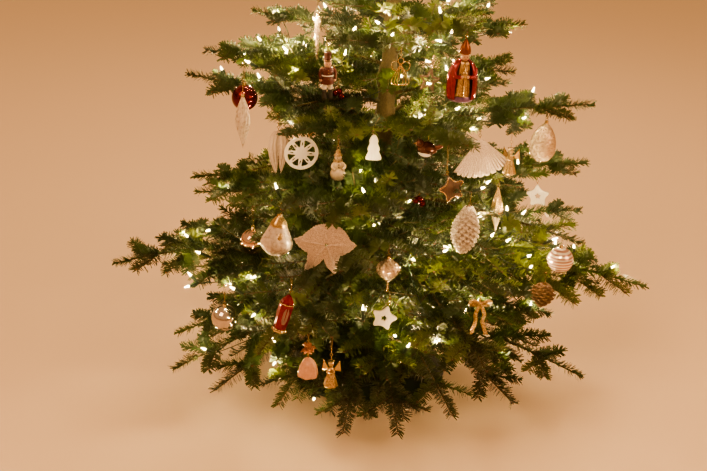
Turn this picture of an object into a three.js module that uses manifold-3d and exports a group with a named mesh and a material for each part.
// A cut fir tree in its stand, as it is set up indoors for Christmas: trunk, whorls of boughs, fans of
// needled twigs, and a round stand with three clamp screws. Millimetres, +Z up, with the origin in the
// middle of the stand's flat underside, under the foot of the trunk. +Y points away from the viewer.
import * as THREE from "three";
import { mergeVertices } from "three/addons/utils/BufferGeometryUtils.js";
import Module from "manifold-3d";

const wasm = await Module();
wasm.setup();

// The trunk. Its axis leans towards +X by LEAN_PER_METRE at one metre, more and more with height.
const TREE_HEIGHT = 1700;
const TRUNK_TOP = 1320;
const TRUNK_FOOT_RADIUS = 26;
const TRUNK_TAPER = 0.7;
const TAPER_END = TREE_HEIGHT + 30;
const FOOT_FLARE = 4;
const FLARE_HEIGHT = 60;
const LEAN_PER_METRE = 34;
const LEAN_POWER = 1.25;
const TRUNK_SIDES = 12;
const TRUNK_RINGS = 12;

// Whorls from the ground up, with the weaker boughs that grow between them. height: where the boughs leave
// the trunk; arch: how far a bough's middle bows up; limb: the length that is bare wood, 0 where needles run
// to the trunk; seasons: of growth in a bough. Each bough is [heading in degrees, reach from the trunk's
// axis to the tip, rise from foot to tip].
const WHORLS = [
  {
    height: 205, arch: 22, limb: 160, seasons: 5,
    boughs: [[266, 500, -95], [214, 530, -80], [140, 520, -70], [66, 530, -75], [334, 545, -80]],
  },
  {
    height: 325, arch: 30, limb: 165, seasons: 6,
    boughs: [
      [188, 625, -28], [122, 560, -35], [55, 570, -40], [2, 668, -84], [297, 575, -50], [243, 550, -40],
    ],
  },
  {
    height: 480, arch: 14, limb: 135, seasons: 5,
    boughs: [[174, 450, 2], [98, 460, 20], [20, 545, 28], [328, 520, -10], [262, 470, -12]],
  },
  {
    height: 568, arch: 6, limb: 0, seasons: 4,
    boughs: [[212, 350, 22], [136, 330, 30], [64, 340, 30], [292, 320, 12]],
  },
  {
    height: 660, arch: 2, limb: 0, seasons: 4,
    boughs: [[182, 455, 104], [105, 400, 86], [42, 400, 80], [356, 480, 55], [296, 390, 55], [236, 395, 62]],
  },
  {
    height: 765, arch: 0, limb: 0, seasons: 3,
    boughs: [[208, 255, 26], [78, 250, 40], [326, 260, 20]],
  },
  {
    height: 865, arch: -6, limb: 0, seasons: 4,
    boughs: [[186, 312, 40], [118, 290, 60], [38, 300, 62], [344, 300, 48], [262, 280, 42]],
  },
  {
    height: 1100, arch: -8, limb: 0, seasons: 3,
    boughs: [[150, 225, 70], [62, 230, 74], [335, 222, 66], [243, 228, 70]],
  },
];

// The four shoots round the foot of the leader, and how far the leader's own needles stand out.
const TOP_WHORL = { height: 1362, shoots: 4, turn: 20, reach: 138, rise: 70 };
const LEADER_REACH = 16;

// How boughs differ from each other, and how twigs leave their stem
const FOOT_SPREAD = 8;
const SWEEP_SPREAD = 24;
const WIDEST_SECTOR = 72;
const SECTOR_SHARE = 0.9;
const SIDE_ANGLE = 54;
const SIDE_ANGLE_SPREAD = 6;
const SIDE_DROOP = 0.06;
const SIDE_SHARE = [0.66, 0.5];
const SIDE_SHARE_GAIN = 0.28;
const SIDE_SHARE_SPREAD = 0.08;
const SHORTEST_TWIG = 50;
const LONGEST_TWIG = 400;
const FORKING_TWIG = 225;
const FORK_SHARE = 0.5;

// Limbs, and the sprays of needles that stand for a season's growth
const LIMB_SIDES = 6;
const LIMB_RINGS = 2;
const LIMB_FOOT_RADIUS = 8;
const LIMB_TAPER = 0.7;
const STEM_FOOT = 48;
const STEM_FOOT_LAP = 20;
const STEM_FOOT_RADIUS = 4.5;
const NEEDLE_PITCH = 90;
const NEEDLE_REACH = 32;
const NEEDLE_TIP_LOSS = 0.3;
const BARE_ROOT = 24;
const CORE_HALF_WIDTH = 10;
const CORE_ABOVE = 11;
const CORE_BELOW = 4;
const CORE_ROOT_SHARE = 0.35;
const CORE_TIP_SHARE = 0.6;
const TIP_BLUNTNESS = 14;

// Pieces that touch keep SEAT_GAP between them, and a twig keeps CLEARANCE to what it doesn't grow from.
const SEAT_GAP = 0.3;
const CLEARANCE = 1.5;

// The stand
const STAND_SIDES = 30;
const STAND_RADIUS = 195;
const STAND_RIM = 12;
const FLANK_STEPS = 5;
const COLLAR_RADIUS = 46;
const COLLAR_BORE = 35;
const COLLAR_TOP = 150;
const SHOULDER_HEIGHT = 84;
const BORE_FLOOR = 16;
const SCREW_COUNT = 3;
const SCREW_TURN = 90;
const SCREW_HEIGHT = 126;
const SCREW_RADIUS = 4;
const SCREW_SIDES = 12;
const SCREW_LENGTH = 42;
const WING_SPAN = 34;
const WING_HEIGHT = 13;
const WING_THICKNESS = 5;

const DEGREE = Math.PI / 180;
const UP = new THREE.Vector3(0, 0, 1);

const bark = new THREE.MeshStandardMaterial({ color: 0x6b5a42, roughness: 0.9, metalness: 0 });
const needles = new THREE.MeshStandardMaterial({ color: 0x24401a, roughness: 0.55, metalness: 0 });
const standPlastic = new THREE.MeshStandardMaterial({ color: 0x1c2e22, roughness: 0.5, metalness: 0 });
const screwSteel = new THREE.MeshStandardMaterial({ color: 0xb9b9b4, roughness: 0.35, metalness: 1 });

// The same number from 0 to 1 each time for one whorl, bough and trait.
function chance(whorl, bough, trait) {
  const wave = Math.sin(whorl * 127.1 + bough * 311.7 + trait * 74.7 + 4.2) * 43758.5453;
  return wave - Math.floor(wave);
}

function vary(whorl, bough, trait, amount) {
  return (2 * chance(whorl, bough, trait) - 1) * amount;
}

// The turn from one heading to another, from -180 to 180 degrees.
function turnBetween(from, to) {
  return ((to - from + 540) % 360) - 180;
}

// A closed geometry as a solid that can be joined and cut.
function solidOf(geometry) {
  const bare = geometry.index ? geometry.toNonIndexed() : geometry;
  bare.deleteAttribute("normal");
  bare.deleteAttribute("uv");
  const merged = mergeVertices(bare, 1e-3);
  return new wasm.Manifold(
    new wasm.Mesh({
      numProp: 3,
      vertProperties: merged.attributes.position.array,
      triVerts: new Uint32Array(merged.index.array),
    }),
  );
}

function meshOf(solid, name, material) {
  const made = solid.getMesh();
  const geometry = new THREE.BufferGeometry();
  geometry.setAttribute("position", new THREE.BufferAttribute(made.vertProperties, 3));
  geometry.setIndex(new THREE.BufferAttribute(made.triVerts, 1));
  geometry.computeVertexNormals();
  const mesh = new THREE.Mesh(geometry, material);
  mesh.name = name;
  return mesh;
}

// A round rod that follows place(t, side, up), for t from 0 to 1, with radius(t).
function rod(place, radius, sides, rings) {
  const geometry = new THREE.CylinderGeometry(1, 1, 1, sides, rings);
  const position = geometry.attributes.position;
  for (let i = 0; i < position.count; i++) {
    const t = position.getY(i) + 0.5;
    const point = place(t, position.getZ(i) * radius(t), position.getX(i) * radius(t));
    position.setXYZ(i, point.x, point.y, point.z);
  }
  return solidOf(geometry);
}

function trunkAxis(height) {
  return new THREE.Vector3(LEAN_PER_METRE * (height / 1000) ** LEAN_POWER, 0, height);
}

function trunkRadius(height) {
  const taper = TRUNK_FOOT_RADIUS * (1 - height / TAPER_END) ** TRUNK_TAPER;
  return taper + FOOT_FLARE * Math.exp(-(height - BORE_FLOOR) / FLARE_HEIGHT);
}

// The trunk, or with extra the space that it and the gap round it take.
function trunkSolid(extra) {
  const foot = BORE_FLOOR + SEAT_GAP;
  const heightAt = (t) => foot + t * (TRUNK_TOP - foot);
  const place = (t, x, y) => trunkAxis(heightAt(t)).add(new THREE.Vector3(x, y, 0));
  return rod(place, (t) => trunkRadius(heightAt(t)) + extra, TRUNK_SIDES, TRUNK_RINGS);
}

// A bough of a whorl: where it starts, its heading, reach and curve, and half the angle it has to itself.
function boughOf(whorlNumber, index) {
  const whorl = WHORLS[whorlNumber];
  const [turn, reach, rise] = whorl.boughs[index];
  const others = whorl.boughs.filter((bough) => bough !== whorl.boughs[index]);
  const sector = Math.min(WIDEST_SECTOR, ...others.map(([other]) => Math.abs(turnBetween(turn, other))));
  return {
    whorlNumber,
    index,
    whorl,
    reach,
    rise,
    foot: trunkAxis(whorl.height + vary(whorlNumber, index, 2, FOOT_SPREAD)),
    out: new THREE.Vector3(Math.cos(turn * DEGREE), Math.sin(turn * DEGREE), 0),
    across: new THREE.Vector3(-Math.sin(turn * DEGREE), Math.cos(turn * DEGREE), 0),
    sweep: vary(whorlNumber, index, 5, SWEEP_SPREAD),
    halfSector: (sector / 2) * SECTOR_SHARE * DEGREE,
  };
}

// The bough's line at a distance from the trunk's axis, its frame there, and place(t, side, up) along it.
function boughPoint(bough, distance) {
  const u = distance / bough.reach;
  return bough.foot
    .clone()
    .addScaledVector(bough.out, distance)
    .addScaledVector(bough.across, bough.sweep * u * u)
    .addScaledVector(UP, bough.rise * u + bough.whorl.arch * 4 * u * (1 - u));
}

function boughFrame(bough, distance) {
  const ahead = boughPoint(bough, distance + 1).sub(boughPoint(bough, distance - 1)).normalize();
  const side = new THREE.Vector3().crossVectors(UP, ahead).normalize();
  const up = new THREE.Vector3().crossVectors(ahead, side);
  return { point: boughPoint(bough, distance), ahead, side, up };
}

function alongBough(bough, from, to) {
  return (t, sideways, upward) => {
    const frame = boughFrame(bough, from + t * (to - from));
    return frame.point.addScaledVector(frame.side, sideways).addScaledVector(frame.up, upward);
  };
}

// The frame of a straight twig at a share of its length, and place(t, side, up) along it.
function twigFrame(twig, t) {
  const side = new THREE.Vector3().crossVectors(UP, twig.ahead).normalize();
  const up = new THREE.Vector3().crossVectors(twig.ahead, side);
  const point = twig.point.clone().addScaledVector(twig.ahead, t * twig.length);
  return { point, ahead: twig.ahead, side, up };
}

function alongTwig(twig) {
  return (t, sideways, upward) => {
    const frame = twigFrame(twig, t);
    return frame.point.addScaledVector(frame.side, sideways).addScaledVector(frame.up, upward);
  };
}

// Where the outline of a spray has its notches, as shares of its length: at its ends, at the nodes where
// twigs leave it, and evenly between them.
function notchesOf(length, bareRoot, nodes) {
  const stops = [bareRoot / length, ...nodes, 1 - TIP_BLUNTNESS / length];
  const notches = [stops[0]];
  for (let i = 1; i < stops.length; i++) {
    const gap = stops[i] - stops[i - 1];
    const teeth = Math.max(1, Math.round((gap * length) / NEEDLE_PITCH));
    for (let k = 1; k <= teeth; k++) notches.push(stops[i - 1] + (gap * k) / teeth);
  }
  return notches;
}

// A spray of needles: a slim three-sided core along place, with a flat belly and a ridge on top, whose lower
// edges stand out in teeth that point to the tip. bareRoot is the length at its foot that has none.
function spray(place, length, { bareRoot = 0, nodes = [], reach = NEEDLE_REACH } = {}) {
  const vertices = [];
  const faces = [];
  const add = (t, side, up) => vertices.push(place(t, side, up)) - 1;
  const addRing = (t, share) => ({
    t,
    ridge: add(t, 0, CORE_ABOVE * share),
    left: add(t, CORE_HALF_WIDTH * share, -CORE_BELOW * share),
    right: add(t, -CORE_HALF_WIDTH * share, -CORE_BELOW * share),
  });
  const rings = notchesOf(length, bareRoot, nodes).map((t) => addRing(t, 1 - (1 - CORE_TIP_SHARE) * t));
  if (bareRoot) rings.unshift(addRing(0, CORE_ROOT_SHARE));
  rings.slice(0, -1).forEach((ring, i) => {
    const next = rings[i + 1];
    faces.push(ring.ridge, next.ridge, next.left, ring.ridge, next.right, next.ridge);
    faces.push(ring.left, next.left, next.right, ring.left, next.right, ring.right);
    if (bareRoot && i === 0) {
      faces.push(ring.ridge, next.left, ring.left, ring.ridge, ring.right, next.right);
      return;
    }
    const out = reach * (1 - NEEDLE_TIP_LOSS * next.t);
    const left = add(next.t, out, -CORE_BELOW);
    const right = add(next.t, -out, -CORE_BELOW);
    faces.push(ring.ridge, left, ring.left, ring.ridge, next.left, left, ring.left, left, next.left);
    faces.push(ring.ridge, ring.right, right, ring.ridge, right, next.right, ring.right, next.right, right);
  });
  const [first, last] = [rings[0], rings.at(-1)];
  const tip = add(1, 0, -CORE_BELOW / 2);
  faces.push(first.ridge, first.left, first.right, last.left, tip, last.right);
  faces.push(last.ridge, tip, last.left, last.ridge, last.right, tip);
  const geometry = new THREE.BufferGeometry().setFromPoints(vertices);
  geometry.setIndex(faces);
  return solidOf(geometry);
}

// How long a twig may grow before it leaves its bough's own sector of the crown.
function sectorLimit(bough, point, ahead) {
  const centre = trunkAxis(point.z);
  for (let length = 0; length < LONGEST_TWIG; length += 10) {
    const end = point.clone().addScaledVector(ahead, length).sub(centre);
    const sideways = Math.abs(end.dot(bough.across)) + CORE_HALF_WIDTH;
    if (sideways > Math.tan(bough.halfSector) * end.dot(bough.out)) return length;
  }
  return LONGEST_TWIG;
}

// Twigs by the rule of the fir: at the end of each season's growth a pair leaves the stem, left and right,
// as long as a set share of what the stem grew after it, and a long twig forks in the same way. A stem is
// { length, nodes, frameAt }, with its nodes as shares of its length.
function sideTwigs(bough, stem, order, key) {
  const found = [];
  stem.nodes.forEach((t, node) => {
    const { point, ahead: stemAhead, up } = stem.frameAt(t);
    for (const way of [1, -1]) {
      const twigKey = key * 16 + node * 2 + (way > 0 ? 1 : 0);
      const spread = (trait, amount) => vary(bough.whorlNumber, bough.index, twigKey * 3 + trait, amount);
      const angle = way * (SIDE_ANGLE + spread(0, SIDE_ANGLE_SPREAD)) * DEGREE;
      const ahead = stemAhead.clone().applyAxisAngle(up, angle);
      ahead.z -= SIDE_DROOP;
      ahead.normalize();
      const share = (SIDE_SHARE[order] + SIDE_SHARE_GAIN * t * t) * (1 + spread(1, SIDE_SHARE_SPREAD));
      const length = Math.min(stem.length * (1 - t) * share, sectorLimit(bough, point, ahead));
      if (length < SHORTEST_TWIG) continue;
      const forks = order === 0 && length > FORKING_TWIG;
      const twig = { point, ahead, length, nodes: forks ? [FORK_SHARE] : [] };
      found.push(twig);
      found.push(...sideTwigs(bough, { ...twig, frameAt: (s) => twigFrame(twig, s) }, 1, twigKey));
    }
  });
  return found;
}

// Bare wood along a bough's line, from the trunk's axis to a distance from it.
function limbSolid(bough, to, footRadius) {
  const width = (t) => footRadius * (1 - (1 - LIMB_TAPER) * t);
  return rod(alongBough(bough, 0, to), width, LIMB_SIDES, LIMB_RINGS);
}

// The solids of one bough's mass: the spray along its stem, one for each twig, and where the mass starts
// at the trunk a bare foot that its stem grows from.
function massSprays(bough) {
  const { limb, seasons } = bough.whorl;
  const from = limb ? limb + SEAT_GAP : STEM_FOOT;
  const length = bough.reach - from;
  const nodes = Array.from({ length: seasons - 1 }, (_, i) => ((i + 1) * bough.reach) / seasons)
    .filter((distance) => distance > from + CORE_HALF_WIDTH)
    .map((distance) => (distance - from) / length);
  const stem = spray(alongBough(bough, from, bough.reach), length, { nodes });
  const foot = limb ? stem : stem.add(limbSolid(bough, STEM_FOOT + STEM_FOOT_LAP, STEM_FOOT_RADIUS));
  const frameAt = (t) => boughFrame(bough, from + t * length);
  const twigs = sideTwigs(bough, { length, nodes, frameAt }, 0, 1);
  const rooted = (twig) => spray(alongTwig(twig), twig.length, { bareRoot: BARE_ROOT, nodes: twig.nodes });
  return [foot, ...twigs.map(rooted)];
}

// The leader, with needles all round, and the top whorl on it: one mass that stands on the trunk's end.
function topSprays() {
  const foot = TRUNK_TOP + SEAT_GAP;
  const length = TREE_HEIGHT - foot;
  const leader = (turned) => (t, side, up) => {
    const [x, y] = turned ? [-up, side] : [side, up];
    return trunkAxis(foot + t * length).add(new THREE.Vector3(x, y, 0));
  };
  const shoots = Array.from({ length: TOP_WHORL.shoots }, (_, index) => {
    const heading = (TOP_WHORL.turn + (360 / TOP_WHORL.shoots) * index) * DEGREE;
    const ahead = new THREE.Vector3(Math.cos(heading), Math.sin(heading), 0).multiplyScalar(TOP_WHORL.reach);
    ahead.z = TOP_WHORL.rise;
    const shoot = { point: trunkAxis(TOP_WHORL.height), length: ahead.length(), ahead: ahead.normalize() };
    return spray(alongTwig(shoot), shoot.length, { bareRoot: BARE_ROOT });
  });
  const narrow = { reach: LEADER_REACH };
  return [spray(leader(false), length, narrow), spray(leader(true), length, narrow), ...shoots];
}

// The stand: a turned base with a flat underside and a collar that the trunk's foot drops into.
function standBase() {
  const flank = new THREE.QuadraticBezierCurve(
    new THREE.Vector2(STAND_RADIUS - 8, STAND_RIM + 5),
    new THREE.Vector2(COLLAR_RADIUS + 34, STAND_RIM + 22),
    new THREE.Vector2(COLLAR_RADIUS, SHOULDER_HEIGHT),
  );
  const profile = [
    new THREE.Vector2(0, 0),
    new THREE.Vector2(STAND_RADIUS, 0),
    new THREE.Vector2(STAND_RADIUS, STAND_RIM),
    ...flank.getPoints(FLANK_STEPS),
    new THREE.Vector2(COLLAR_RADIUS, COLLAR_TOP),
    new THREE.Vector2(COLLAR_BORE, COLLAR_TOP),
    new THREE.Vector2(COLLAR_BORE, BORE_FLOOR),
    new THREE.Vector2(0, BORE_FLOOR),
  ];
  const turned = new THREE.LatheGeometry(profile, STAND_SIDES);
  turned.rotateX(Math.PI / 2);
  let base = solidOf(turned);
  for (let index = 0; index < SCREW_COUNT; index++) {
    base = base.subtract(screwRod(index, SCREW_RADIUS + SEAT_GAP, COLLAR_BORE - 6, COLLAR_RADIUS + 6));
  }
  return base;
}

// Moves a geometry that lies along +X from the trunk's axis to a clamp screw's place.
function toScrewPlace(geometry, index) {
  geometry.rotateZ((SCREW_TURN + (360 / SCREW_COUNT) * index) * DEGREE);
  geometry.translate(trunkAxis(SCREW_HEIGHT).x, 0, SCREW_HEIGHT);
  return solidOf(geometry);
}

function screwRod(index, radius, from, to) {
  const shank = new THREE.CylinderGeometry(radius, radius, to - from, SCREW_SIDES);
  shank.rotateZ(-Math.PI / 2);
  shank.translate((from + to) / 2, 0, 0);
  return toScrewPlace(shank, index);
}

// A clamp screw presses on the trunk through the collar, and has a flat wing to turn it by.
function clampScrew(index) {
  const from = trunkRadius(SCREW_HEIGHT) + SEAT_GAP;
  const to = from + SCREW_LENGTH;
  const wing = new THREE.BoxGeometry(WING_THICKNESS, WING_SPAN, WING_HEIGHT);
  wing.translate(to, 0, 0);
  return screwRod(index, SCREW_RADIUS, from, to).add(toScrewPlace(wing, index));
}

const tree = new THREE.Group();
const aroundTrunk = trunkSolid(SEAT_GAP);
const boughs = WHORLS.flatMap((whorl, number) => whorl.boughs.map((_, index) => boughOf(number, index)));
const nameOf = (kind, bough) => `${kind}_${bough.whorlNumber + 1}_${bough.index + 1}`;

// Every limb and mass placed so far, which the twigs of the masses that follow keep clear of.
const placed = [];

// One mass as one body: the sprays that keep clear of all that stands, joined, and cut back to the trunk.
function massOf([stem, ...twigs]) {
  const clear = (twig) => placed.every((solid) => twig.minGap(solid, CLEARANCE) >= CLEARANCE);
  const joined = wasm.Manifold.union([stem, ...twigs.filter(clear)]).subtract(aroundTrunk);
  const mass = joined.decompose().sort((a, b) => b.volume() - a.volume())[0];
  placed.push(mass);
  return mass;
}

tree.add(meshOf(trunkSolid(0), "trunk", bark));
for (const bough of boughs.filter(({ whorl }) => whorl.limb)) {
  const limb = limbSolid(bough, bough.whorl.limb, LIMB_FOOT_RADIUS).subtract(aroundTrunk);
  placed.push(limb);
  tree.add(meshOf(limb, nameOf("bough", bough), bark));
}
for (const bough of boughs) {
  tree.add(meshOf(massOf(massSprays(bough)), nameOf("foliage", bough), needles));
}
tree.add(meshOf(massOf(topSprays()), "foliage_top", needles));
tree.add(meshOf(standBase(), "stand_base", standPlastic));
for (let index = 0; index < SCREW_COUNT; index++) {
  tree.add(meshOf(clampScrew(index), `clamp_screw_${index + 1}`, screwSteel));
}

export default tree;
